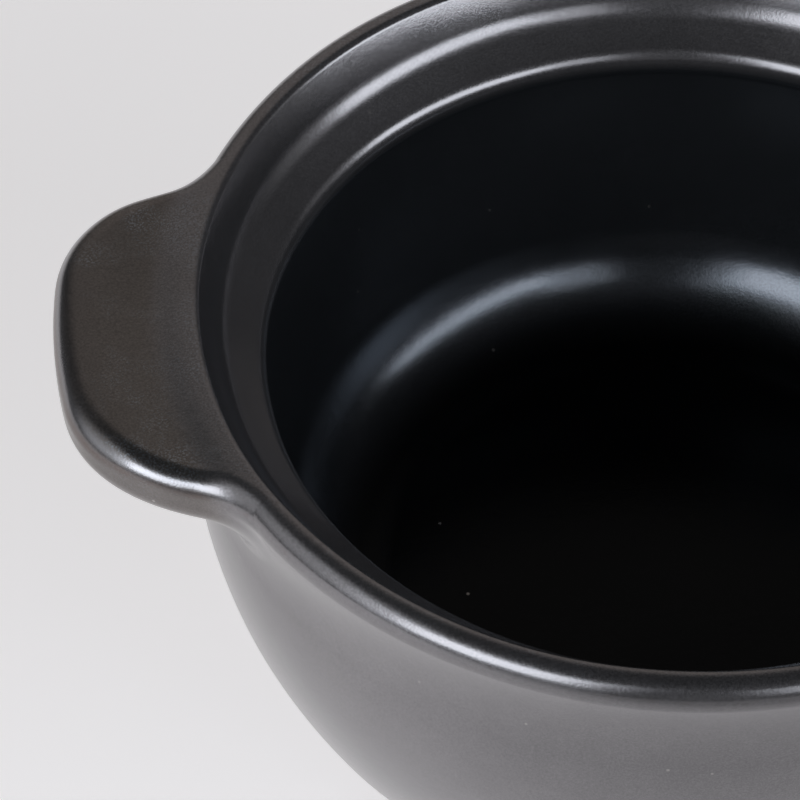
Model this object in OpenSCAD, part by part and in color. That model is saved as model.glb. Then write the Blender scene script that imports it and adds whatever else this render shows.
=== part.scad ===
// Round black clay cooking pot: a coil-built bowl with a lid ledge, a rolled rim and two lug handles.
// The origin is the centre of the base, +Z is up, and the handles lie along X.

/* [Bowl] */
// Widest radius of the bowl's outside
belly_r = 98.2; // [97:0.1:99.5]
// Height of the widest point
belly_z = 68; // [65:0.5:71]
// Radius of the belly's curve, seen from the side
belly_curve_r = 121; // [110:1:135]
// Thickness of the coiled wall
wall_t = 7.5; // [6:0.5:8.5]
// Radius of the outside curve from the wall to the base
base_curve_r = 28; // [22:1:32]
// Radius of the inside curve from the wall to the floor
floor_curve_r = 28; // [20:1:32]
// Height of the floor above the surface that the pot stands on
floor_z = 10.5; // [8:0.5:13]
// Depth of the hollow under the base
recess_h = 2; // [1:0.5:3]
// Width of the ring that the pot stands on
foot_w = 8; // [5:0.5:12]

/* [Mouth] */
// Radius of the opening inside the lid ledge
mouth_r = 82.5; // [80:0.5:84.5]
// Height of the middle of the ledge's rounded inner edge
nose_z = 78.9; // [77.5:0.1:80]
// Radius of the ledge's rounded inner edge
nose_r = 4.6; // [3.5:0.1:5]
// Radius of the fillet under the ledge
under_ledge_r = 6; // [5:0.5:7]
// Slope of the ledge that carries the lid, in degrees
ledge_slope = 35; // [28:1:40]
// Radius of the cove between the ledge and the rim's inside wall
cove_r = 10; // [6:0.5:12]

/* [Rim] */
// Largest radius of the rolled rim
rim_r = 101.4; // [100.4:0.1:102.4]
// Height of the rim's top
rim_z = 97.5; // [96:0.5:99]
// Radius of the roll on the rim's outside
bead_r = 4.5; // [4:0.1:5]
// Radius of the rim's inner edge
lip_r = 1.8; // [1.4:0.1:2.2]
// Slope of the rim's inside wall, in degrees
rim_slope = 66; // [62:1:70]
// Radius of the soft neck under the rim
neck_r = 60; // [40:1:80]

/* [Handles] */
// Distance from the pot's axis to a handle's tip
handle_reach = 124.2; // [120:0.2:128]
// Half of a handle's width at the rim
handle_half_w = 40; // [37:0.2:43]
// Angle at which each side of a handle turns inwards
handle_taper = 14.5; // [11:0.5:17]
// Radius of a handle's outer corners, seen from above
corner_r = 36; // [28:1:37]
// Radius of the fillets beside a handle, seen from above
root_r = 17; // [17:0.5:20]
// Thickness of a handle
handle_t = 14; // [11:0.5:15]
// Height of the middle of a handle at the rim
handle_z = 89.6; // [88:0.2:90]
// Angle at which a handle rises towards its tip
handle_rise = 5.5; // [0:0.5:7]

/* [Clay joints] */
// Rise of a scarf joint for each millimetre inwards
scarf_slope = 0.8; // [0.4:0.1:1]
// Radius of the joint between the base slab and the first coil
slab_joint_r = 65; // [63:0.5:67]
// Height of the joint between the lower wall and the belly
belly_joint_z = 39; // [34:1:44]
// Height of the joint between the belly and the shoulder
shoulder_joint_z = 60; // [56:1:62]

/* [Hidden] */

$fn = 180;
arc_step = 4;        // largest angle between two points of an arc
edge_layers = 10;    // layers across the rounded edge of a handle
past_wall = 25;      // how far a joint line runs past the middle of the wall
above_rim = 10;      // how far the cutter for the handles stands above the rim
cove_joint_at = 0.2; // how far round the cove, from the ledge to the rim, the joint lies
rim_joint_depth = 1; // how far the rim's joint lies below the cove
root_depth = 1;      // how far the fillets beside a handle run into the wall

slab_black = [0.10, 0.095, 0.095];
wall_black = [0.15, 0.145, 0.145];
shoulder_black = [0.19, 0.18, 0.18];
ledge_black = [0.13, 0.13, 0.135];
rim_black = [0.22, 0.20, 0.195];
handle_black = [0.17, 0.16, 0.155];

origin = [0, 0];

// Direction of a point seen from c, in degrees.
function bearing(c, p) = atan2(p.y - c.y, p.x - c.x);

// Points along an arc from angle a0 to angle a1.
function arc(c, r, a0, a1) =
    let (steps = max(2, ceil(abs(a1 - a0) / arc_step)))
    [for (i = [0:steps]) let (a = a0 + (a1 - a0) * i / steps) c + r * [cos(a), sin(a)]];

// Where a circle round c1 crosses a circle round c2, to the right of the way from c1 to c2.
function crossing(c1, r1, c2, r2) =
    let (
        d = norm(c2 - c1),
        ahead = (c2 - c1) / d,
        along = (r1 * r1 - r2 * r2 + d * d) / (2 * d)
    )
    c1 + along * ahead + sqrt(r1 * r1 - along * along) * [ahead.y, -ahead.x];

// The point that lies d1 along the unit vector n1 and d2 along the unit vector n2.
function meet(n1, d1, n2, d2) = [d1 * n2.y - d2 * n1.y, n1.x * d2 - n2.x * d1] / cross(n1, n2);

// Centre of a curve of radius r that runs from the belly's curve, of radius big_r, to a level at z.
function turn_centre(big_r, r, z) =
    [belly_c.x + sqrt(pow(big_r - r, 2) - pow(belly_z - z - r, 2)), z + r];

// The wall's section, as the centres of its curves in the [radius, height] plane.
inner_curve_r = belly_curve_r - wall_t;
belly_c = [belly_r - belly_curve_r, belly_z];
base_c = turn_centre(belly_curve_r, base_curve_r, 0);
floor_c = turn_centre(inner_curve_r, floor_curve_r, floor_z);
nose_c = [mouth_r + nose_r, nose_z];
bead_c = [rim_r - bead_r, rim_z - bead_r];
lip_c = [bead_c.x, rim_z - lip_r];
under_c = crossing(belly_c, inner_curve_r - under_ledge_r, nose_c, nose_r + under_ledge_r);
neck_c = crossing(belly_c, belly_curve_r + neck_r, bead_c, bead_r + neck_r);
ledge_up = [-sin(ledge_slope), cos(ledge_slope)];
rim_up = [-sin(rim_slope), cos(rim_slope)];
cove_c = meet(ledge_up, ledge_up * nose_c + nose_r + cove_r, rim_up, rim_up * lip_c + lip_r + cove_r);

inside = concat(
    [[0, floor_z]],
    arc(floor_c, floor_curve_r, -90, bearing(belly_c, floor_c)),
    arc(belly_c, inner_curve_r, bearing(belly_c, floor_c), bearing(belly_c, under_c)),
    arc(under_c, under_ledge_r, bearing(belly_c, under_c), bearing(under_c, nose_c)),
    arc(nose_c, nose_r, 360 + bearing(nose_c, under_c), 90 + ledge_slope),
    arc(cove_c, cove_r, ledge_slope - 90, rim_slope - 90),
    arc(lip_c, lip_r, 90 + rim_slope, 90)
);
outside = concat(
    arc(bead_c, bead_r, 90, bearing(bead_c, neck_c)),
    arc(neck_c, neck_r, bearing(neck_c, bead_c), 360 + bearing(neck_c, belly_c)),
    arc(belly_c, belly_curve_r, bearing(belly_c, neck_c), bearing(belly_c, base_c)),
    arc(base_c, base_curve_r, bearing(belly_c, base_c), -90),
    [[base_c.x - foot_w, 0], [base_c.x - foot_w - recess_h, recess_h], [0, recess_h]]
);

// Radius of the middle of the wall at a height on the belly's curve.
function mid_wall_r(z) =
    belly_c.x + sqrt(pow(belly_curve_r - wall_t / 2, 2) - pow(z - belly_z, 2));

// A joint line across the wall, from its inner end down to its outer end.
function scarf(p) = [p + past_wall * [-1, scarf_slope], p + past_wall * [1, -scarf_slope]];

slab_joint = scarf([slab_joint_r, floor_z / 2]);
belly_joint = scarf([mid_wall_r(belly_joint_z), belly_joint_z]);
shoulder_joint = scarf([mid_wall_r(shoulder_joint_z), shoulder_joint_z]);
cove_joint = ledge_slope - 90 + cove_joint_at * (rim_slope - ledge_slope);
ledge_joint_r = cove_c.x + cove_r * cos(cove_joint);
rim_joint_z = cove_c.y + cove_r * sin(cove_joint) - rim_joint_depth;
outer_limit = rim_r + past_wall;
top_limit = rim_z + above_rim;

// A turned ring: the stretch of the wall that lies inside a region of the section.
module ring(region) {
    rotate_extrude()
        intersection() {
            polygon(concat(inside, outside));
            polygon(region);
        }
}

module base_slab() {
    color(slab_black)
        ring([[0, slab_joint[1].y], slab_joint[1], slab_joint[0], [0, slab_joint[0].y]]);
}

module lower_wall() {
    color(wall_black)
        ring([slab_joint[0], slab_joint[1], belly_joint[1], belly_joint[0]]);
}

module belly_wall() {
    color(shoulder_black)
        ring([belly_joint[0], belly_joint[1], shoulder_joint[1], shoulder_joint[0]]);
}

module shoulder_wall() {
    color(wall_black)
        ring([
            [ledge_joint_r, rim_joint_z],
            [ledge_joint_r, under_c.y],
            shoulder_joint[0],
            shoulder_joint[1],
            [outer_limit, rim_joint_z]
        ]);
}

module lid_ledge() {
    color(ledge_black)
        ring([
            [0, under_c.y],
            [ledge_joint_r, under_c.y],
            [ledge_joint_r, top_limit],
            [0, top_limit]
        ]);
}

module rim_coil() {
    color(rim_black)
        ring([
            [ledge_joint_r, rim_joint_z],
            [outer_limit, rim_joint_z],
            [outer_limit, top_limit],
            [ledge_joint_r, top_limit]
        ]);
}

// A handle seen from above, with its tip towards +X, drawn inset by e.
side_out = [sin(handle_taper), cos(handle_taper)];
side_along = [cos(handle_taper), -sin(handle_taper)];
side_d = side_out * [rim_r, handle_half_w];
neck_wall_r = neck_c.x - neck_r - root_depth;

// The point that lies d outwards from the handle's middle line and r from the pot's axis.
function beside(d, r) = d * side_out + sqrt(r * r - d * d) * side_along;

corner_c = beside(side_d - corner_r, handle_reach - corner_r);
root_c = beside(side_d + root_r, neck_wall_r + root_r);

function half_outline(e) = concat(
    [(neck_wall_r - root_r) * root_c / norm(root_c)],
    arc(root_c, root_r + e, 180 + bearing(origin, root_c), 270 - handle_taper),
    arc(corner_c, corner_r - e, 90 - handle_taper, bearing(origin, corner_c)),
    [(handle_reach - e) * [1, 0]]
);

function mirrored(points) =
    [for (i = [len(points) - 2:-1:0]) [points[i].x, -points[i].y]];

// Layers of the outline, stacked round the handle's rounded edge.
module lug() {
    half_t = handle_t / 2;
    rise = tan(handle_rise);
    layers = [for (k = [0:edge_layers])
        let (
            a = 180 * k / edge_layers - 90,
            half = half_outline(half_t * (1 - cos(a))),
            outline = concat(half, mirrored(half))
        )
        [for (p = outline) [p.x, p.y, handle_z + half_t * sin(a) + rise * (p.x - rim_r)]]];
    n = len(layers[0]);
    sides = [for (k = [0:edge_layers - 1], i = [0:n - 1])
        let (j = (i + 1) % n)
        [k * n + i, k * n + j, (k + 1) * n + j, (k + 1) * n + i]];
    bottom = [for (i = [0:n - 1]) n - 1 - i];
    top = [for (i = [0:n - 1]) edge_layers * n + i];
    polyhedron([for (layer = layers) each layer], concat(sides, [bottom, top]));
}

// The lug is cut to the bowl, so that it sits face to face on the rim and the shoulder.
module handle(side) {
    color(handle_black)
        rotate([0, 0, side])
            difference() {
                lug();
                rotate_extrude()
                    polygon(concat([[0, top_limit], [bead_c.x, top_limit]], outside));
            }
}

module left_handle() {
    handle(180);
}

module right_handle() {
    handle(0);
}

base_slab();
lower_wall();
belly_wall();
shoulder_wall();
lid_ledge();
rim_coil();
left_handle();
right_handle();
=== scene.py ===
"""A black clay cooking pot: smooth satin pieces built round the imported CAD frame.

The pot's own sizes are in millimetres and become metres in add_piece(); the studio is in metres.
"""

import math

import bpy
import numpy as np
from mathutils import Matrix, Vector


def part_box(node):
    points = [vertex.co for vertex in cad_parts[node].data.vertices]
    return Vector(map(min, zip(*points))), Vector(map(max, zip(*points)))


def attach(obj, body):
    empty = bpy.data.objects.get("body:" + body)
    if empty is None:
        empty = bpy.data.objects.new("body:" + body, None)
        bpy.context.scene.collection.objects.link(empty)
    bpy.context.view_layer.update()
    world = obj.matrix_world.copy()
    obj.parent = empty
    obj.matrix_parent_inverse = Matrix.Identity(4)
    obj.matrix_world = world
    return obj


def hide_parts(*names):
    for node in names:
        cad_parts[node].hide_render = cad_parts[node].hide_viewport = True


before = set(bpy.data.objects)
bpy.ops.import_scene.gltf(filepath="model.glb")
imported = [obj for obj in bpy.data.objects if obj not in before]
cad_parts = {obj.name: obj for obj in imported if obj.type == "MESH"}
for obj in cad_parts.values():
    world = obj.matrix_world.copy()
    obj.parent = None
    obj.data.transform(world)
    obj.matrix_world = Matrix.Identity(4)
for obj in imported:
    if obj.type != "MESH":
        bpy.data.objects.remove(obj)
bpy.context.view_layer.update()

# ---------------------------------------------------------------- sizes, in millimetres
MM = 0.001
TURN = 2 * math.pi
RIGHT_ANGLE = math.pi / 2
NEVER_ZERO = 1e-9


def cad_size(node, corner, axis):
    """One coordinate of a CAD node's box, in millimetres."""
    return round(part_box(node)[corner][axis] / MM, 1)


# The wall: two arcs about one centre, WALL_T apart.
BELLY_R = 98.2
BELLY_Z = 68.0
BELLY_CURVE_R = 121.0
WALL_T = 7.5

# The base, its foot ring and the hollow inside the ring.
BASE_CURVE_R = 28.0
FLOOR_CURVE_R = 28.0
FLOOR_Z = 10.5
RECESS_H = 2.0
FOOT_W = 8.0
FOOT_SLANT = math.radians(45)
FOOT_EDGE_R = 0.8

# The lid's ledge: a round nose, a slope and a cove that runs up to the rim.
MOUTH_R = 82.5
NOSE_Z = 78.9
NOSE_R = 4.6
UNDER_LEDGE_R = 6.0
LEDGE_SLOPE = math.radians(35)
COVE_R = 10.0

# The rim: a roll outside, a small lip inside, and the hollow neck below the roll.
RIM_R = cad_size("rim_coil", 1, 1)
RIM_Z = cad_size("rim_coil", 1, 2)
RIM_SLOPE = math.radians(66)
BEAD_R = 4.5
LIP_R = 1.8
NECK_R = 60.0

# The handles: lugs that taper outwards and rise a little.
HANDLE_REACH = cad_size("right_handle", 1, 0)
HANDLE_HALF_W = 40.0
HANDLE_TAPER = math.radians(14.5)
HANDLE_T = 14.0
HANDLE_Z = 89.6
HANDLE_RISE = math.tan(math.radians(5.5))
TIP_BLEND = 18.0
ROOT_BLEND = 7.0
LUG_EDGE_R = 6.7
TIP_EDGE_R = 5.0

# The hidden joints between the pieces.
SCARF_SLOPE = 0.8
SLAB_JOINT_R = 65.0
BELLY_JOINT_Z = 39.0
SHOULDER_JOINT_Z = 60.0
COVE_JOINT_AT = 0.2
RIM_JOINT_DEPTH = 1.0

# How far apart the points of the section are, stretch by stretch.
FLAT_STEP = 2.5
WALL_STEP = 1.2
CURVE_STEP = 0.7
NECK_STEP = 0.5
COVE_STEP = 0.4
NOSE_STEP = 0.35
BEAD_STEP = 0.3
LIP_STEP = 0.25
FOOT_STEP = 0.15
FEWEST_STEPS = 6


# ---------------------------------------------------------------- curves in the [radius, height] plane
def bearing(c, p):
    """Angle of the way from c to p."""
    return math.atan2(p[1] - c[1], p[0] - c[0])


def crossing(c1, r1, c2, r2):
    """Where two circles cross, to the right of the way from c1 to c2."""
    c1, c2 = np.array(c1, float), np.array(c2, float)
    d = np.linalg.norm(c2 - c1)
    ahead = (c2 - c1) / d
    along = (r1 * r1 - r2 * r2 + d * d) / (2 * d)
    across = math.sqrt(r1 * r1 - along * along)
    return c1 + along * ahead + across * np.array([ahead[1], -ahead[0]])


def turn_centre(big_r, r, z):
    """Centre of the curve of radius r that runs from the belly's curve to a level at z."""
    return np.array([BELLY_C[0] + math.sqrt((big_r - r) ** 2 - (BELLY_Z - z - r) ** 2), z + r])


def arc(c, r, a0, a1, hollow=False, step=CURVE_STEP):
    """Points and normals along an arc, about step apart; hollow arcs face their centre."""
    n = max(FEWEST_STEPS, math.ceil(abs(a1 - a0) * r / step))
    a = np.linspace(a0, a1, n + 1)
    out = np.stack([np.cos(a), np.sin(a)], 1)
    return np.array(c) + r * out, -out if hollow else out


def straight(p, q):
    """Points and normals along a line whose clay lies to its right."""
    p, q = np.array(p, float), np.array(q, float)
    length = np.linalg.norm(q - p)
    n = max(1, math.ceil(length / FLAT_STEP))
    ahead = (q - p) / length
    points = p + np.linspace(0, 1, n + 1)[:, None] * (q - p)
    return points, np.tile([-ahead[1], ahead[0]], (n + 1, 1))


def joined(runs):
    """One path from runs that follow each other smoothly."""
    points = np.concatenate([runs[0][0]] + [r[0][1:] for r in runs[1:]])
    normals = np.concatenate([runs[0][1]] + [r[1][1:] for r in runs[1:]])
    return points, normals


BELLY_C = np.array([BELLY_R - BELLY_CURVE_R, BELLY_Z])
INNER_R = BELLY_CURVE_R - WALL_T
BASE_C = turn_centre(BELLY_CURVE_R, BASE_CURVE_R, 0)
FLOOR_C = turn_centre(INNER_R, FLOOR_CURVE_R, FLOOR_Z)
NOSE_C = np.array([MOUTH_R + NOSE_R, NOSE_Z])
BEAD_C = np.array([RIM_R - BEAD_R, RIM_Z - BEAD_R])
LIP_C = np.array([BEAD_C[0], RIM_Z - LIP_R])
UNDER_C = crossing(BELLY_C, INNER_R - UNDER_LEDGE_R, NOSE_C, NOSE_R + UNDER_LEDGE_R)
NECK_C = crossing(BELLY_C, BELLY_CURVE_R + NECK_R, BEAD_C, BEAD_R + NECK_R)
LEDGE_UP = np.array([-math.sin(LEDGE_SLOPE), math.cos(LEDGE_SLOPE)])
RIM_UP = np.array([-math.sin(RIM_SLOPE), math.cos(RIM_SLOPE)])
COVE_C = np.linalg.solve(
    np.array([LEDGE_UP, RIM_UP]),
    [LEDGE_UP @ NOSE_C + NOSE_R + COVE_R, RIM_UP @ LIP_C + LIP_R + COVE_R],
)

FLOOR_TURN = bearing(BELLY_C, FLOOR_C)
UNDER_TURN = bearing(BELLY_C, UNDER_C)
NECK_TOP = bearing(NECK_C, BEAD_C)
NECK_LOW = bearing(NECK_C, BELLY_C) + TURN
BASE_TURN = bearing(BELLY_C, BASE_C)

inside = joined([
    straight([0, FLOOR_Z], [FLOOR_C[0], FLOOR_Z]),
    arc(FLOOR_C, FLOOR_CURVE_R, -RIGHT_ANGLE, FLOOR_TURN, hollow=True),
    arc(BELLY_C, INNER_R, FLOOR_TURN, UNDER_TURN, hollow=True, step=WALL_STEP),
    arc(UNDER_C, UNDER_LEDGE_R, UNDER_TURN, bearing(UNDER_C, NOSE_C), hollow=True),
    arc(NOSE_C, NOSE_R, bearing(NOSE_C, UNDER_C) + TURN, RIGHT_ANGLE + LEDGE_SLOPE, step=NOSE_STEP),
    arc(COVE_C, COVE_R, LEDGE_SLOPE - RIGHT_ANGLE, RIM_SLOPE - RIGHT_ANGLE, hollow=True, step=COVE_STEP),
    arc(LIP_C, LIP_R, RIGHT_ANGLE + RIM_SLOPE, RIGHT_ANGLE, step=LIP_STEP),
])
outside = joined([
    arc(BEAD_C, BEAD_R, RIGHT_ANGLE, bearing(BEAD_C, NECK_C), step=BEAD_STEP),
    arc(NECK_C, NECK_R, NECK_TOP, NECK_LOW, hollow=True, step=NECK_STEP),
    arc(BELLY_C, BELLY_CURVE_R, bearing(BELLY_C, NECK_C), BASE_TURN, step=WALL_STEP),
    arc(BASE_C, BASE_CURVE_R, BASE_TURN, -RIGHT_ANGLE),
    straight([BASE_C[0], 0], [BASE_C[0] - FOOT_W, 0]),
])


def smooth(x, x0, x1):
    """Rises from 0 at x0 to 1 at x1 with no kink."""
    t = np.clip((x - x0) / (x1 - x0), 0, 1)
    return t * t * t * (t * (6 * t - 15) + 10)


def pot_gap(r, z):
    """Distance outside the pot's outer wall, with the rolled rim run on straight up."""
    bead = np.where(z > BEAD_C[1], r - RIM_R, np.hypot(r - BEAD_C[0], z - BEAD_C[1]) - BEAD_R)
    belly = np.hypot(r - BELLY_C[0], z - BELLY_C[1]) - BELLY_CURVE_R
    turn = np.arctan2(z - NECK_C[1], r - NECK_C[0]) % TURN
    in_neck = (turn > NECK_TOP) & (turn < NECK_LOW)
    neck = NECK_R - np.hypot(r - NECK_C[0], z - NECK_C[1])
    return np.where(in_neck, neck, np.minimum(bead, belly))


def mid_wall(z):
    """The middle of the wall at height z."""
    mid_r = BELLY_CURVE_R - WALL_T / 2
    return np.array([BELLY_C[0] + math.sqrt(mid_r ** 2 - (z - BELLY_Z) ** 2), z])


ON_LINE = 1e-6
SAME_POINT = 1e-4


def cut(path, p, ahead):
    """Splits a path at the first place where it crosses the line through p along ahead."""
    points, normals = path
    side = (points - p) @ np.array([-ahead[1], ahead[0]])
    left = side > ON_LINE
    i = 1 + int(np.nonzero(left[1:-1] != left[2:])[0][0])
    t = side[i] / (side[i] - side[i + 1])
    at = points[i] + t * (points[i + 1] - points[i])
    n = normals[i] + t * (normals[i + 1] - normals[i])
    n = n / np.linalg.norm(n)
    j = i + 1 if np.linalg.norm(points[i] - at) > SAME_POINT else i
    k = i + 1 if np.linalg.norm(points[i + 1] - at) > SAME_POINT else i + 2
    before = np.vstack([points[:j], at]), np.vstack([normals[:j], n])
    after = np.vstack([at, points[k:]]), np.vstack([n, normals[k:]])
    return before, after


SCARF = np.array([-1, SCARF_SLOPE])
UP = np.array([0, 1])
OUT = np.array([1, 0])
cove_joint = LEDGE_SLOPE - RIGHT_ANGLE + COVE_JOINT_AT * (RIM_SLOPE - LEDGE_SLOPE)
on_cove = COVE_C + COVE_R * np.array([math.cos(cove_joint), math.sin(cove_joint)])
rim_joint = on_cove - [0, RIM_JOINT_DEPTH]
slab_joint = np.array([SLAB_JOINT_R, FLOOR_Z / 2])

slab_in, rest = cut(inside, slab_joint, SCARF)
lower_in, rest = cut(rest, mid_wall(BELLY_JOINT_Z), SCARF)
belly_in, rest = cut(rest, mid_wall(SHOULDER_JOINT_Z), SCARF)
shoulder_in, rest = cut(rest, rim_joint, UP)
ledge_in, rim_in = cut(rest, rim_joint, UP)

rim_out, rest = cut(outside, rim_joint, OUT)
shoulder_out, rest = cut(rest, mid_wall(SHOULDER_JOINT_Z), SCARF)
belly_out, rest = cut(rest, mid_wall(BELLY_JOINT_Z), SCARF)
lower_out, slab_out = cut(rest, slab_joint, SCARF)

# ---------------------------------------------------------------- uneven clay
SEED = 7
WAVES = 9
WAVE_LENGTHS = 34, 95
WAVE_HEIGHTS = 0.02, 0.05
EVEN_FOOT = 8.0

dice = np.random.default_rng(SEED)
wave_way = dice.normal(size=(WAVES, 3))
wave_way = wave_way / np.linalg.norm(wave_way, axis=1)[:, None]
wave_k = (TURN / dice.uniform(*WAVE_LENGTHS, WAVES))[:, None] * wave_way
wave_phase = dice.uniform(0, TURN, WAVES)
wave_height = dice.uniform(*WAVE_HEIGHTS, WAVES)


def above_foot(points):
    """0 on the foot, which stands flat on the table, and 1 from EVEN_FOOT up."""
    return np.clip(points[:, 2] / EVEN_FOOT, 0, 1)


def uneven(points, normals):
    """Points moved along their normals by the slow unevenness of hand-made clay."""
    height = np.sin(points @ wave_k.T + wave_phase) @ wave_height * above_foot(points)
    return points + height[:, None] * normals


def tilted(points, normals):
    """The normals of the uneven clay; a normal of zero stays zero."""
    slope = (np.cos(points @ wave_k.T + wave_phase) * wave_height) @ wave_k * above_foot(points)[:, None]
    slope = slope - np.sum(slope * normals, 1)[:, None] * normals
    size = np.linalg.norm(normals, axis=1)[:, None]
    bent = normals - slope * (size > 0)
    return bent / np.maximum(np.linalg.norm(bent, axis=1)[:, None], NEVER_ZERO)


# ---------------------------------------------------------------- masks that tell the glaze where it is
# The rolled edges lie above EDGE_Z. Lift is how far a face looks up, in degrees.
EDGE_Z = 91.0
EDGE_FADE = 2.0
WEAR_LIFT, WEAR_SPREAD = 20, 18
# The next line places a painted highlight on the handles' edges, at the lift where the window's
# reflection falls.
HIGHLIGHT_LIFT, HIGHLIGHT_SPREAD = 42, 12
RIM_WEAR = 0.5
# The bowl's wall looks out by less than WALL_LEAN, and its floor looks up by more than FLOOR_LEAN.
WALL_LEAN = 0.3
FLOOR_LEAN = 0.3
UNDER_FLOOR = 2.0
NOSE_FADE = 2.0
# The next two numbers place painted shade on the bowl's floor: how high it reaches and how far it fades.
DEEP_Z = 18.0
DEEP_FADE = 6.5
RIM_FROM, RIM_TO = 86, 92
LUG_CLEAR = 6
LEVEL_FROM, LEVEL_TO = 0.70, 0.92


def outward(points, normals):
    """How far each point's face looks away from the pot's axis, from -1 to 1."""
    radius = np.maximum(np.hypot(points[:, 0], points[:, 1]), NEVER_ZERO)
    return np.sum(points[:, :2] * normals[:, :2], 1) / radius


def on_edge(points, normals, lift, spread):
    """1 on the rolled outer edges where the clay faces lift degrees up, and 0 away from there."""
    turned_up = np.degrees(np.arcsin(np.clip(normals[:, 2], -1, 1)))
    high = np.clip((points[:, 2] - EDGE_Z) / EDGE_FADE, 0, 1)
    return np.exp(-((turned_up - lift) / spread) ** 2) * high * (outward(points, normals) > 0)


def in_bowl(points):
    """Which points lie within the rim and no lower than just under the floor's top."""
    radius = np.hypot(points[:, 0], points[:, 1])
    return (points[:, 2] > FLOOR_Z - UNDER_FLOOR) & (radius < RIM_R - WALL_T)


def edge_wear(points, normals):
    """The lower part of the rolled edges, where the glaze breaks to brown, less so on the rim."""
    worn = on_edge(points, normals, WEAR_LIFT, WEAR_SPREAD)
    return worn * (RIM_WEAR + (1 - RIM_WEAR) * out_on_lug(points, normals))


def painted_highlight_band(points, normals):
    """A painted highlight: the upper part of the handles' edges, where the window's reflection falls,
    made lighter.
    """
    return on_edge(points, normals, HIGHLIGHT_LIFT, HIGHLIGHT_SPREAD) * out_on_lug(points, normals)


def inner_side(points, normals):
    """1 in the bowl below the ledge, where the glaze is darker, and 0 outside."""
    below_nose = np.clip((NOSE_Z - points[:, 2]) / NOSE_FADE + 0.5, 0, 1)
    return below_nose * ((outward(points, normals) < WALL_LEAN) & in_bowl(points))


def painted_floor_shade(points, normals):
    """1 on the floor inside, which is painted darkest as painted shade under the rim, and 0 from the
    wall up.
    """
    near_floor = np.clip((DEEP_Z - points[:, 2]) / DEEP_FADE, 0, 1)
    return near_floor * ((normals[:, 2] > FLOOR_LEAN) & in_bowl(points))


def rim_height(points, normals):
    """1 at the rim's height and 0 on the wall below it."""
    return smooth(points[:, 2], RIM_FROM, RIM_TO)


def out_on_lug(points, normals):
    """1 on a handle clear of the pot's wall and 0 on the wall itself."""
    return smooth(pot_gap(np.hypot(points[:, 0], points[:, 1]), points[:, 2]), 0, LUG_CLEAR)


def looking_up(points, normals):
    """1 on level faces, where dust lies, and 0 on the sides and the rolled edges."""
    return smooth(normals[:, 2], LEVEL_FROM, LEVEL_TO)


# Each mask is stored on the mesh's points under its name, for the glaze to read.
MASKS = {
    "wear": edge_wear,
    # The next mask marks a painted highlight on the handles' edges.
    "painted_highlight": painted_highlight_band,
    "inner": inner_side,
    # The next mask is painted shade on the bowl's floor.
    "deep": painted_floor_shade,
    "upper": rim_height,
    "lug": out_on_lug,
    "level": looking_up,
}

# ---------------------------------------------------------------- meshes
COLUMNS = 288


def grid_faces(ids):
    """Four-cornered faces between the rows and columns of a grid of vertices."""
    corners = [ids[:-1, :-1], ids[:-1, 1:], ids[1:, 1:], ids[1:, :-1]]
    return np.stack(corners, -1).reshape(-1, 4)


def add_piece(name, node, slot, points, normals, faces, corners):
    """One closed piece that stands for a CAD node; corners holds a normal for each face's corner."""
    mesh = bpy.data.meshes.new(name)
    mesh.from_pydata((uneven(points, normals) * MM).tolist(), [], faces)
    mesh.polygons.foreach_set("use_smooth", [True] * len(faces))
    mesh.normals_split_custom_set(corners.tolist())
    for kind, amount in MASKS.items():
        mask = mesh.attributes.new(kind, "FLOAT", "POINT")
        mask.data.foreach_set("value", amount(points, normals).astype(np.float32))
    mesh.materials.append(materials[slot])
    piece = bpy.data.objects.new(name, mesh)
    bpy.context.scene.collection.objects.link(piece)
    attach(piece, "root")
    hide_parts(node)


def joint(p, q):
    """The hidden joint between two pieces, which needs no normals."""
    return np.array([p, q], float), np.zeros((2, 2))


def turned(name, node, slot, runs):
    """A ring, or a disc where the section starts on the axis, turned from runs of skin and joints."""
    section = np.concatenate([points[:-1] for points, normals in runs])
    starts = np.concatenate([normals[:-1] for points, normals in runs])
    ends = np.concatenate([normals[1:] for points, normals in runs])
    on_skin = np.linalg.norm(starts, axis=1)[:, None] > 0
    skin = np.where(on_skin, starts, np.roll(ends, 1, axis=0))
    disc = section[0][0] == 0
    if disc:
        section = np.vstack([section, runs[-1][0][-1]])
        skin = np.vstack([skin, ends[-1]])

    a = np.arange(COLUMNS) * TURN / COLUMNS
    ahead = np.stack([np.cos(a), np.sin(a)], 1)[:, None]

    def spun(v):
        up = np.broadcast_to(v[None, :, 1:], (COLUMNS, len(v), 1))
        return np.concatenate([v[None, :, :1] * ahead, up], 2)

    points, normals = spun(section), spun(skin)
    ids = np.arange(COLUMNS * len(section)).reshape(COLUMNS, len(section))
    if disc:
        ids[:, 0] = ids[0, 0]
        ids[:, -1] = ids[0, -1]
    else:
        ids = np.hstack([ids, ids[:, :1]])
    faces = grid_faces(np.vstack([ids, ids[:1]]))
    first, second = spun(starts), spun(ends)
    corners = [first, second, np.roll(second, -1, axis=0), np.roll(first, -1, axis=0)]
    corners = np.stack(corners, 2).reshape(-1, 3)

    points, normals = points.reshape(-1, 3), normals.reshape(-1, 3)
    corners = tilted(points[faces.ravel()], corners)
    # A face on the axis has three distinct corners, so the doubled one is left out.
    distinct = np.stack([faces[:, i] != faces[:, i - 1] for i in range(4)], 1)
    used, compact = np.unique(faces, return_inverse=True)
    compact = compact.reshape(faces.shape)
    faces = [row[keep].tolist() for row, keep in zip(compact, distinct)]
    add_piece(name, node, slot, points[used], normals[used], faces, corners[distinct.ravel()])


# ---------------------------------------------------------------- the handles' shape
# The top is hollowed a little past the rim and lifts again at the tip, by radius from the axis.
DISH_START, DISH_END, DISH_DEPTH = BEAD_C[0], 106.0, 0.7
LIFT_START, LIFT_END, LIFT = 103.0, 119.0, 1.5
EDGE_START, EDGE_END = 103.0, 112.0
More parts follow.
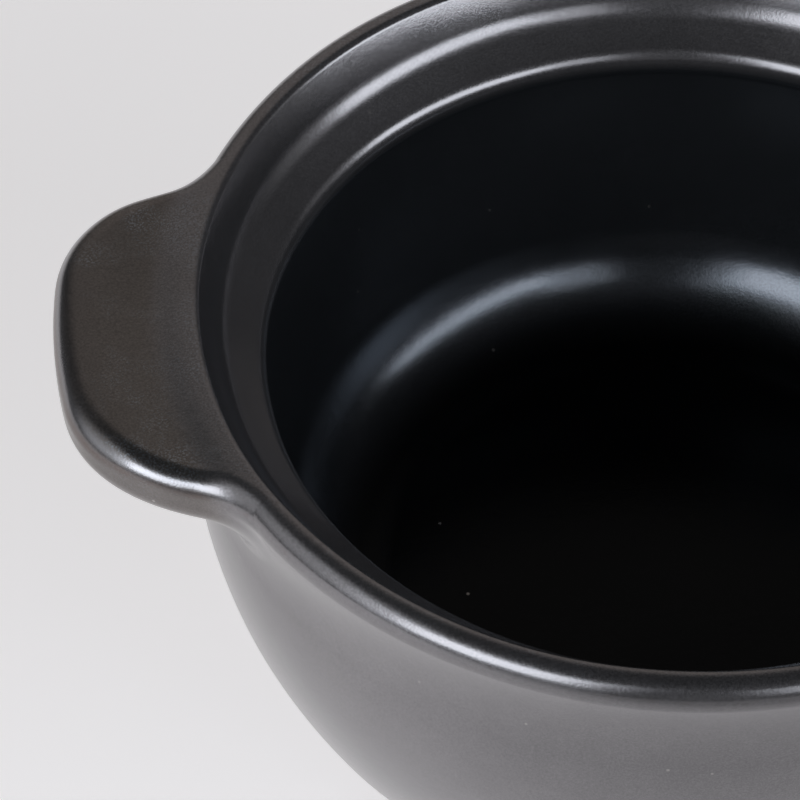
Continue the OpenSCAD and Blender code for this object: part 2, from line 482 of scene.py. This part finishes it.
# The skin is found along rays that fan out from FAN in each upright plane.
FAN = np.array([94.5, 89.5])
FAN_TOP = math.atan2(RIM_Z - FAN[1], BEAD_C[0] - FAN[0])
FAN_LOW = math.radians(-78.4)
RAY_START, RAY_END = 0.5, 45.0
HALVINGS = 40
FIRST_ROWS = 700
ROWS = 150
# Upright planes lie closer together over the handle's sides, by degrees from its middle.
SIDE_START, SIDE_END, ROOT_END = 12, 32, 37.1
COARSE_TURN, FINE_TURN = 0.75, 0.3
# The hidden back lies under the pot's own skin, and the roots sink just below it.
UNDER_SKIN = 0.45
SINK = 0.02
# How far apart the shape is compared with itself to find its slope.
SLOPE_STEP = 0.02

side_out = np.array([math.sin(HANDLE_TAPER), math.cos(HANDLE_TAPER)])
side_d = side_out @ np.array([RIM_R, HANDLE_HALF_W])


def outer_of(a, b, r):
    """Overlap of two shapes, with its edge rounded to radius r."""
    both = np.hypot(np.maximum(a + r, 0), np.maximum(b + r, 0))
    return np.minimum(np.maximum(a, b), -r) + both


def merged(a, b, k):
    """Union of two shapes, with a fillet that reaches k."""
    near = np.maximum(k - np.abs(a - b), 0)
    return np.minimum(a, b) - near * near / (4 * k)


def handle_gap(p):
    """Below zero inside the pot with the +X handle, above zero outside it."""
    x, y, z = p[..., 0], np.abs(p[..., 1]), p[..., 2]
    r = np.hypot(x, y)
    tip = r - HANDLE_REACH
    side = side_out[0] * x + side_out[1] * y - side_d
    plan = -merged(-tip, -side, TIP_BLEND)
    under = HANDLE_Z - HANDLE_T / 2 + HANDLE_RISE * (r - RIM_R) - z
    lug = outer_of(plan, under, LUG_EDGE_R)
    dish = LIFT * smooth(r, LIFT_START, LIFT_END) - DISH_DEPTH * smooth(r, DISH_START, DISH_END)
    over = z - RIM_Z - dish
    sink = SINK * np.minimum((r - BEAD_C[0]) ** 2 + (z - RIM_Z) ** 2, 1)
    edge = BEAD_R + (TIP_EDGE_R - BEAD_R) * smooth(r, EDGE_START, EDGE_END)
    return outer_of(merged(pot_gap(r, z), lug, ROOT_BLEND), over, edge) + sink


def pot_alone(p):
    """Below zero inside the pot without its handles."""
    r = np.hypot(p[..., 0], p[..., 1])
    return outer_of(pot_gap(r, p[..., 2]), p[..., 2] - RIM_Z, BEAD_R)


def gradient(gap, p):
    """Which way gap grows at each point."""
    step = SLOPE_STEP * np.eye(3)
    g = np.stack([gap(p + step[i]) - gap(p - step[i]) for i in range(3)], -1)
    return g / (2 * SLOPE_STEP)


def in_space(turn, ray, t):
    """The point t from the fan's centre, along a ray in the upright plane at that turn."""
    r = FAN[0] + t * np.cos(ray)
    z = FAN[1] + t * np.sin(ray)
    return np.stack([r * np.cos(turn), r * np.sin(turn), z], -1)


def reach(gap, turn, ray):
    """How far each ray goes before it leaves the clay."""
    low = np.full(ray.shape, RAY_START)
    high = np.full(ray.shape, RAY_END)
    for _ in range(HALVINGS):
        mid = (low + high) / 2
        inside_clay = gap(in_space(turn, ray, mid)) < 0
        low = np.where(inside_clay, mid, low)
        high = np.where(inside_clay, high, mid)
    return (low + high) / 2


half_turns = np.concatenate([
    np.arange(0, SIDE_START, COARSE_TURN),
    np.arange(SIDE_START, SIDE_END, FINE_TURN),
    np.arange(SIDE_END, ROOT_END, COARSE_TURN),
])
turns = np.radians(np.concatenate([-half_turns[:0:-1], half_turns]))


def add_handle(name, node, slot, spin):
    """A lug whose roots run out under the skin of the rim and the shoulder."""
    # A first, dense fan of rays finds where evenly spaced rows have to lie.
    rays = np.linspace(FAN_TOP, FAN_LOW, FIRST_ROWS)
    turn, ray = np.meshgrid(turns, rays, indexing="ij")
    skin = in_space(turn, ray, reach(handle_gap, turn, ray))
    along = np.linalg.norm(np.diff(skin, axis=1), axis=2).cumsum(1)
    along = np.hstack([np.zeros((len(turns), 1)), along])
    even = np.linspace(0, 1, ROWS)
    ray = np.stack([np.interp(even * row[-1], row, rays) for row in along])
    turn = np.broadcast_to(turns[:, None], ray.shape)
    outer = in_space(turn, ray, reach(handle_gap, turn, ray))
    slope = gradient(handle_gap, outer)
    outer_normals = slope / np.linalg.norm(slope, axis=2)[..., None]
    inner = in_space(turn, ray, reach(pot_alone, turn, ray) - UNDER_SKIN)
    inner_slope = gradient(pot_alone, inner)
    inner_size = np.linalg.norm(inner_slope, axis=2)[..., None]
    inner_normals = inner_slope / np.maximum(inner_size, NEVER_ZERO)

    c, s = math.cos(spin), math.sin(spin)
    about = np.array([[c, s, 0], [-s, c, 0], [0, 0, 1]])
    ids = np.arange(outer[..., 0].size).reshape(outer.shape[:2])
    deep = ids + ids.size
    rim = np.concatenate([ids[0], ids[1:, -1], ids[-1, -2::-1], ids[-2:0:-1, 0]])
    rim = np.append(rim, rim[0])
    border = np.stack([rim[1:], rim[:-1], rim[:-1] + ids.size, rim[1:] + ids.size], 1)
    skin_faces = grid_faces(ids)
    hidden_faces = np.vstack([grid_faces(deep)[:, ::-1], border])
    points = np.concatenate([outer.reshape(-1, 3), inner.reshape(-1, 3)]) @ about
    normals = np.concatenate([outer_normals.reshape(-1, 3), inner_normals.reshape(-1, 3)]) @ about
    corners = np.zeros((hidden_faces.size + skin_faces.size, 3))
    corners[:skin_faces.size] = tilted(points, normals)[skin_faces.ravel()]
    faces = np.vstack([skin_faces, hidden_faces]).tolist()
    add_piece(name, node, slot, points, normals, faces, corners)


# ---------------------------------------------------------------- black glaze
BODY_BLACK = (0.255, 0.246, 0.252, 1)
HANDLE_BLACK = (0.200, 0.184, 0.176, 1)
INNER_BLACK = (0.112, 0.121, 0.134, 1)
# Nearly black: painted shade on the bowl's floor, where the rim keeps the lamps' light off.
FLOOR_PAINTED_SHADE = (0.010, 0.011, 0.012, 1)
BROWN_BREAK = (0.170, 0.130, 0.118, 1)
# A lighter colour laid on the handles' edges as a painted highlight.
PAINTED_HIGHLIGHT_COLOUR = (0.370, 0.365, 0.380, 1)
DUST_BLUE = (0.480, 0.540, 0.610, 1)
PALE_SPECK = (0.500, 0.480, 0.460, 1)

# Noise patterns, each as (scale per metre, detail, roughness).
CLOUD = (24, 4, 0.6)
PATCH = (45, 3, 0.6)
BLOTCH = (150, 3, 0.6)
RAGGED = (260, 4, 0.7)
RIPPLE = (420, 3, 0.65)
GRAIN = (2300, 1.5, 0.6)
GRIT = (2600, 1, 0.5)
SPECKS_PER_METRE = 70
# The part of a noise pattern's range that its values fill.
NOISE_SPAN = 0.3, 0.7
GRAIN_SPAN = 0.3, 0.75

METALLIC = 0.87
CLOUD_TONE = 0.95, 1.05
BLOTCH_TONE = 0.97, 1.03
GRAIN_DEPTH = 0.12
LEVEL_GRAIN_DEPTH = 0.12
RAGGED_SHIFT = -0.35, 0.20
BREAK_SPAN = 0.45, 1.05
MOST_BREAK = 0.55
# How strong the painted highlight on the handles' edges is.
MOST_PAINTED_HIGHLIGHT = 0.8
PATCH_SPAN = 0.46, 0.60
GRIT_SPAN = 0.50, 0.64
RIM_DUST = 0.28
LUG_DUST = 0.17
SIDE_DUST = 0.15
SPECK_EDGE = 0.020, 0.032
SPECK_STRENGTH = 0.6
ROUGHNESS = 0.20, 0.22
GRAIN_ROUGHNESS = -0.02, 0.04
INNER_ROUGHNESS = -0.02
GRAIN_BUMP = {"Strength": 0.25, "Distance": 0.06 * MM}
RIPPLE_BUMP = {"Strength": 0.3, "Distance": 0.08 * MM}


class Maker:
    """Adds and links shader nodes with few words."""

    def __init__(self, tree):
        self.tree = tree

    def node(self, kind, inputs=(), **settings):
        """A node whose inputs are given as values or as other nodes' outputs."""
        made = self.tree.nodes.new(kind)
        for key, value in settings.items():
            setattr(made, key, value)
        for key, value in dict(inputs).items():
            if isinstance(value, bpy.types.NodeSocket):
                self.tree.links.new(value, made.inputs[key])
            else:
                made.inputs[key].default_value = value
        return made

    def noise(self, where, pattern):
        """A noise pattern given as (scale, detail, roughness)."""
        scale, detail, rough = pattern
        inputs = {"Vector": where, "Scale": scale, "Detail": detail, "Roughness": rough}
        return self.node("ShaderNodeTexNoise", inputs).outputs["Fac"]

    def ranged(self, value, span, to=(0.0, 1.0), **settings):
        """The value carried from its span to another, and held at that span's ends."""
        inputs = {
            "Value": value, "From Min": span[0], "From Max": span[1], "To Min": to[0], "To Max": to[1],
        }
        return self.node("ShaderNodeMapRange", inputs, **settings).outputs["Result"]

    def add(self, a, b):
        """The sum of two values."""
        return self.node("ShaderNodeMath", {0: a, 1: b}, operation="ADD").outputs[0]

    def times(self, a, b):
        """The product of two values."""
        return self.node("ShaderNodeMath", {0: a, 1: b}, operation="MULTIPLY").outputs[0]

    def mixed(self, amount, a, b, blend="MIX"):
        """Colour a with colour b laid over it by the amount."""
        inputs = {0: amount, 6: a, 7: b}
        return self.node("ShaderNodeMix", inputs, data_type="RGBA", blend_type=blend).outputs[2]

    def facing(self, way, direction):
        """How far a vector reaches along a fixed direction."""
        made = self.node("ShaderNodeVectorMath", {0: way}, operation="DOT_PRODUCT")
        made.inputs[1].default_value = direction
        return made.outputs["Value"]

    def mask(self, name):
        """One of MASKS, as stored on the mesh."""
        return self.node("ShaderNodeAttribute", attribute_name=name).outputs["Fac"]


def glaze(slot):
    """A satin black glaze, with fine grain, slow mottling, a brown break on worn edges, a painted
    highlight on the handles' edges and painted shade on the bowl's floor.
    """
    material = bpy.data.materials.new(slot)
    material.use_nodes = True
    make = Maker(material.node_tree)
    shader = material.node_tree.nodes["Principled BSDF"]
    where = make.node("ShaderNodeTexCoord").outputs["Object"]
    blotch = make.noise(where, BLOTCH)
    grain = make.noise(where, GRAIN)
    inner = make.mask("inner")
    upper = make.mask("upper")
    lug = make.mask("lug")
    level = make.mask("level")

    black = make.mixed(lug, BODY_BLACK, HANDLE_BLACK)
    black = make.mixed(inner, black, INNER_BLACK)
    # Painted shade: the floor inside the bowl is darkened to near black.
    black = make.mixed(make.mask("deep"), black, FLOOR_PAINTED_SHADE)
    cloud_tone = make.ranged(make.noise(where, CLOUD), NOISE_SPAN, CLOUD_TONE)
    tone = make.times(cloud_tone, make.ranged(blotch, NOISE_SPAN, BLOTCH_TONE))
    depth = make.add(make.times(make.times(upper, level), LEVEL_GRAIN_DEPTH), GRAIN_DEPTH)
    grainy = make.add(make.times(make.ranged(grain, GRAIN_SPAN, (-1.0, 1.0)), depth), 1.0)
    colour = make.mixed(1.0, black, make.times(tone, grainy), blend="MULTIPLY")

    ragged = make.ranged(make.noise(where, RAGGED), NOISE_SPAN, RAGGED_SHIFT)
    broken = make.ranged(make.add(make.mask("wear"), ragged), BREAK_SPAN, (0.0, MOST_BREAK))
    colour = make.mixed(broken, colour, BROWN_BREAK)
    # Painted highlight: the handles' edges are made lighter where the window's reflection falls.
    colour = make.mixed(make.times(make.mask("painted_highlight"), MOST_PAINTED_HIGHLIGHT), colour, PAINTED_HIGHLIGHT_COLOUR)

    dusting = make.add(make.times(upper, RIM_DUST), make.times(lug, LUG_DUST))
    dusting = make.times(dusting, make.ranged(level, (0.0, 1.0), (SIDE_DUST, 1.0)))
    patch = make.ranged(make.noise(where, PATCH), PATCH_SPAN)
    grit = make.ranged(make.noise(where, GRIT), GRIT_SPAN)
    colour = make.mixed(make.times(make.times(patch, grit), dusting), colour, DUST_BLUE)
    cells = make.node("ShaderNodeTexVoronoi", {"Vector": where, "Scale": SPECKS_PER_METRE})
    pale = make.ranged(cells.outputs["Distance"], SPECK_EDGE, (SPECK_STRENGTH, 0.0))
    colour = make.mixed(pale, colour, PALE_SPECK)
    make.tree.links.new(colour, shader.inputs["Base Color"])

    rough = make.ranged(blotch, NOISE_SPAN, ROUGHNESS)
    rough = make.add(rough, make.ranged(grain, GRAIN_SPAN, GRAIN_ROUGHNESS))
    rough = make.add(rough, make.times(inner, INNER_ROUGHNESS))
    make.tree.links.new(rough, shader.inputs["Roughness"])
    shader.inputs["Metallic"].default_value = METALLIC

    grained = make.node("ShaderNodeBump", {**GRAIN_BUMP, "Height": grain}).outputs["Normal"]
    ripple = make.noise(where, RIPPLE)
    rippled = make.node("ShaderNodeBump", {**RIPPLE_BUMP, "Height": ripple, "Normal": grained})
    make.tree.links.new(rippled.outputs["Normal"], shader.inputs["Normal"])
    return material


BOWL, RIM, HANDLE = "black_clay_bowl", "black_clay_rim", "black_clay_handle"
materials = {slot: glaze(slot) for slot in (BOWL, RIM, HANDLE)}

# ---------------------------------------------------------------- the pieces
slab_across = joint(slab_in[0][-1], slab_out[0][0])
belly_across = joint(lower_in[0][-1], lower_out[0][0])
shoulder_across = joint(belly_in[0][-1], belly_out[0][0])
rim_across = joint(rim_joint, rim_out[0][-1])
ledge_back = joint(ledge_in[0][-1], ledge_in[0][0])
ledge_side = joint(shoulder_in[0][-1], rim_joint)
rim_side = joint(rim_joint, rim_in[0][0])


def back(run):
    """A joint run the other way."""
    return run[0][::-1], run[1]


foot_in = np.array([BASE_C[0] - FOOT_W, 0])
recess_edge = foot_in + [-RECESS_H, RECESS_H]
tangent = FOOT_EDGE_R * math.tan(FOOT_SLANT / 2)
slant_way = np.array([-math.sin(FOOT_SLANT), math.cos(FOOT_SLANT)])
foot = joined([
    slab_out,
    straight(slab_out[0][-1], foot_in + [tangent, 0]),
    arc(foot_in + [tangent, FOOT_EDGE_R], FOOT_EDGE_R,
        -RIGHT_ANGLE, -RIGHT_ANGLE - FOOT_SLANT, step=FOOT_STEP),
    straight(foot_in + tangent * slant_way, recess_edge - tangent * slant_way),
    arc(recess_edge - [tangent, FOOT_EDGE_R], FOOT_EDGE_R,
        RIGHT_ANGLE - FOOT_SLANT, RIGHT_ANGLE, hollow=True, step=FOOT_STEP),
    straight(recess_edge - [tangent, 0], [0, RECESS_H]),
])

turned("floor_slab", "base_slab", BOWL, [slab_in, slab_across, foot])
turned("lower_coil", "lower_wall", BOWL, [lower_in, belly_across, lower_out, back(slab_across)])
turned("belly_coil", "belly_wall", BOWL, [belly_in, shoulder_across, belly_out, back(belly_across)])
turned("shoulder_coil", "shoulder_wall", BOWL,
       [shoulder_in, ledge_side, rim_across, shoulder_out, back(shoulder_across)])
turned("ledge_coil", "lid_ledge", RIM, [ledge_in, ledge_back])
turned("rolled_rim", "rim_coil", RIM, [joined([rim_in, rim_out]), back(rim_across), rim_side])
add_handle("lug_left", "left_handle", HANDLE, math.pi)
add_handle("lug_right", "right_handle", HANDLE, 0)

# ---------------------------------------------------------------- the studio
CAMERA_AZIMUTH = math.radians(-6.0)
CAMERA_ELEVATION = math.radians(47.916)
CAMERA_DISTANCE = 0.8693
LOOK_AT = Vector((-0.05711, -0.00822, 0.0805))
FOCAL_LENGTH = 198.26
SENSOR_WIDTH = 36
FARTHEST_SEEN = 20

LIGHT_TARGET = Vector((0, 0, 0.08))
COOL_WHITE = (0.88, 0.93, 1.0)
# Softboxes, each as (name, direction from the pot, distance, size, watts).
SOFTBOXES = [
    ("window", (-0.539, -0.692, 0.480), 1.4, (0.745, 0.74), 5.0),
    ("window_skirt", (-0.576, -0.687, 0.446), 1.5, (1.30, 1.40), 3.4),
    ("right", (0.800, -0.462, 0.383), 1.4, (1.19, 0.58), 6.8),
    ("right_skirt", (0.405, -0.794, 0.454), 1.5, (0.45, 0.70), 1.2),
]

ROOM_BASE = (0.040, 0.040, 0.042, 1)
# Soft patches of the room, each as (azimuth to the right, elevation, half width, colour).
ROOM = [
    (2, 25, 42, (0.225, 0.202, 0.186, 1)),
    (-106, 32, 38, (0.55, 0.56, 0.58, 1)),
    (170, 5, 28, (0.05, 0.052, 0.055, 1)),
    (95, 15, 25, (0.17, 0.175, 0.18, 1)),
]
# The room darkens overhead, by the height of the way that a ray goes.
DARK_ABOVE = 0.80, 0.95
OVERHEAD = 0.06

TABLE_HALF = 3.0
FLOOR_WHITE = (0.80, 0.785, 0.78, 1)
# The floor's glow is painted light: it shines though it is no lamp.
FLOOR_GLOW = (0.485, 0.470, 0.470, 1)
FLOOR_ROUGHNESS = 0.6
BLACK = (0, 0, 0, 1)
# The floor's paint and glow dim with the distance from the pot, and towards the front right: a painted
# pool of light round the pot and painted shade at the front right.
DIM_FAR, DIM_FAR_TO = (0.3, 1.6), 0.7
DIM_FRONT, DIM_FRONT_TO = (0.0, 0.27), 0.32
FRONT_RIGHT = 145


def as_seen(x, y, z):
    """A direction given as right, away and up from the camera's side of the pot."""
    c, s = math.cos(CAMERA_AZIMUTH), math.sin(CAMERA_AZIMUTH)
    return Vector((x * c - y * s, x * s + y * c, z))


def towards(azimuth, elevation):
    """The direction at so many degrees to the right of straight ahead, and up."""
    flat = math.cos(math.radians(elevation))
    azimuth = math.radians(azimuth)
    return as_seen(flat * math.sin(azimuth), flat * math.cos(azimuth), math.sin(math.radians(elevation)))


def softbox(name, way, distance, size, power):
    """A rectangular lamp that faces the pot."""
    lamp = bpy.data.lights.new(name, "AREA")
    lamp.shape = "RECTANGLE"
    lamp.size, lamp.size_y = size
    lamp.energy = power
    lamp.color = COOL_WHITE
    box = bpy.data.objects.new(name, lamp)
    box.location = LIGHT_TARGET + as_seen(*way).normalized() * distance
    box.rotation_euler = (LIGHT_TARGET - box.location).to_track_quat("-Z", "Y").to_euler()
    bpy.context.scene.collection.objects.link(box)


def studio_room():
    """A dim room with a few soft patches of light."""
    world = bpy.data.worlds.new("studio")
    world.use_nodes = True
    make = Maker(world.node_tree)
    way = make.node("ShaderNodeTexCoord").outputs["Generated"]
    glow = ROOM_BASE
    for azimuth, elevation, half_width, colour in ROOM:
        facing = make.facing(way, towards(azimuth, elevation))
        edge = math.cos(math.radians(half_width))
        amount = make.ranged(facing, (edge, 1.0), interpolation_type="SMOOTHSTEP")
        glow = make.mixed(amount, glow, colour, blend="ADD")
    height = make.node("ShaderNodeSeparateXYZ", {0: way}).outputs["Z"]
    background = world.node_tree.nodes["Background"]
    make.tree.links.new(glow, background.inputs["Color"])
    make.tree.links.new(make.ranged(height, DARK_ABOVE, (1.0, OVERHEAD)), background.inputs["Strength"])
    bpy.context.scene.world = world


def table_paint():
    """Pale matt paint with a soft glow of its own, which is painted light; paint and glow dim away from
    the pot and towards the front right, as painted shade.
    """
    paint = bpy.data.materials.new("table_white")
    paint.use_nodes = True
    make = Maker(paint.node_tree)
    shader = paint.node_tree.nodes["Principled BSDF"]
    shader.inputs["Roughness"].default_value = FLOOR_ROUGHNESS
    shader.inputs["Emission Strength"].default_value = 1.0
    where = make.node("ShaderNodeTexCoord").outputs["Object"]
    far = make.node("ShaderNodeVectorMath", {0: where}, operation="LENGTH").outputs["Value"]
    front = make.facing(where, towards(FRONT_RIGHT, 0))
    shade = make.times(
        make.ranged(far, DIM_FAR, (1.0, DIM_FAR_TO)),
        make.ranged(front, DIM_FRONT, (1.0, DIM_FRONT_TO)),
    )
    make.tree.links.new(make.mixed(shade, BLACK, FLOOR_WHITE), shader.inputs["Base Color"])
    make.tree.links.new(make.mixed(shade, BLACK, FLOOR_GLOW), shader.inputs["Emission Color"])
    return paint


def table():
    """The flat floor that the pot stands on."""
    mesh = bpy.data.meshes.new("table")
    corners = [(-1, -1), (1, -1), (1, 1), (-1, 1)]
    mesh.from_pydata([(x * TABLE_HALF, y * TABLE_HALF, 0) for x, y in corners], [], [(0, 1, 2, 3)])
    mesh.materials.append(table_paint())
    top = bpy.data.objects.new("table", mesh)
    bpy.context.scene.collection.objects.link(top)
    return top


for box in SOFTBOXES:
    softbox(*box)
studio_room()
table_top = table()

# ---------------------------------------------------------------- camera
lens = bpy.data.cameras.new("camera")
lens.lens = FOCAL_LENGTH
lens.sensor_width = SENSOR_WIDTH
lens.clip_end = FARTHEST_SEEN
camera = bpy.data.objects.new("camera", lens)
back_way = Vector((
    math.sin(CAMERA_AZIMUTH) * math.cos(CAMERA_ELEVATION),
    -math.cos(CAMERA_AZIMUTH) * math.cos(CAMERA_ELEVATION),
    math.sin(CAMERA_ELEVATION),
))
camera.location = LOOK_AT + CAMERA_DISTANCE * back_way
camera.rotation_euler = (-back_way).to_track_quat("-Z", "Y").to_euler()
bpy.context.scene.collection.objects.link(camera)
bpy.context.scene.camera = camera
bpy.context.scene.view_settings.view_transform = "Standard"
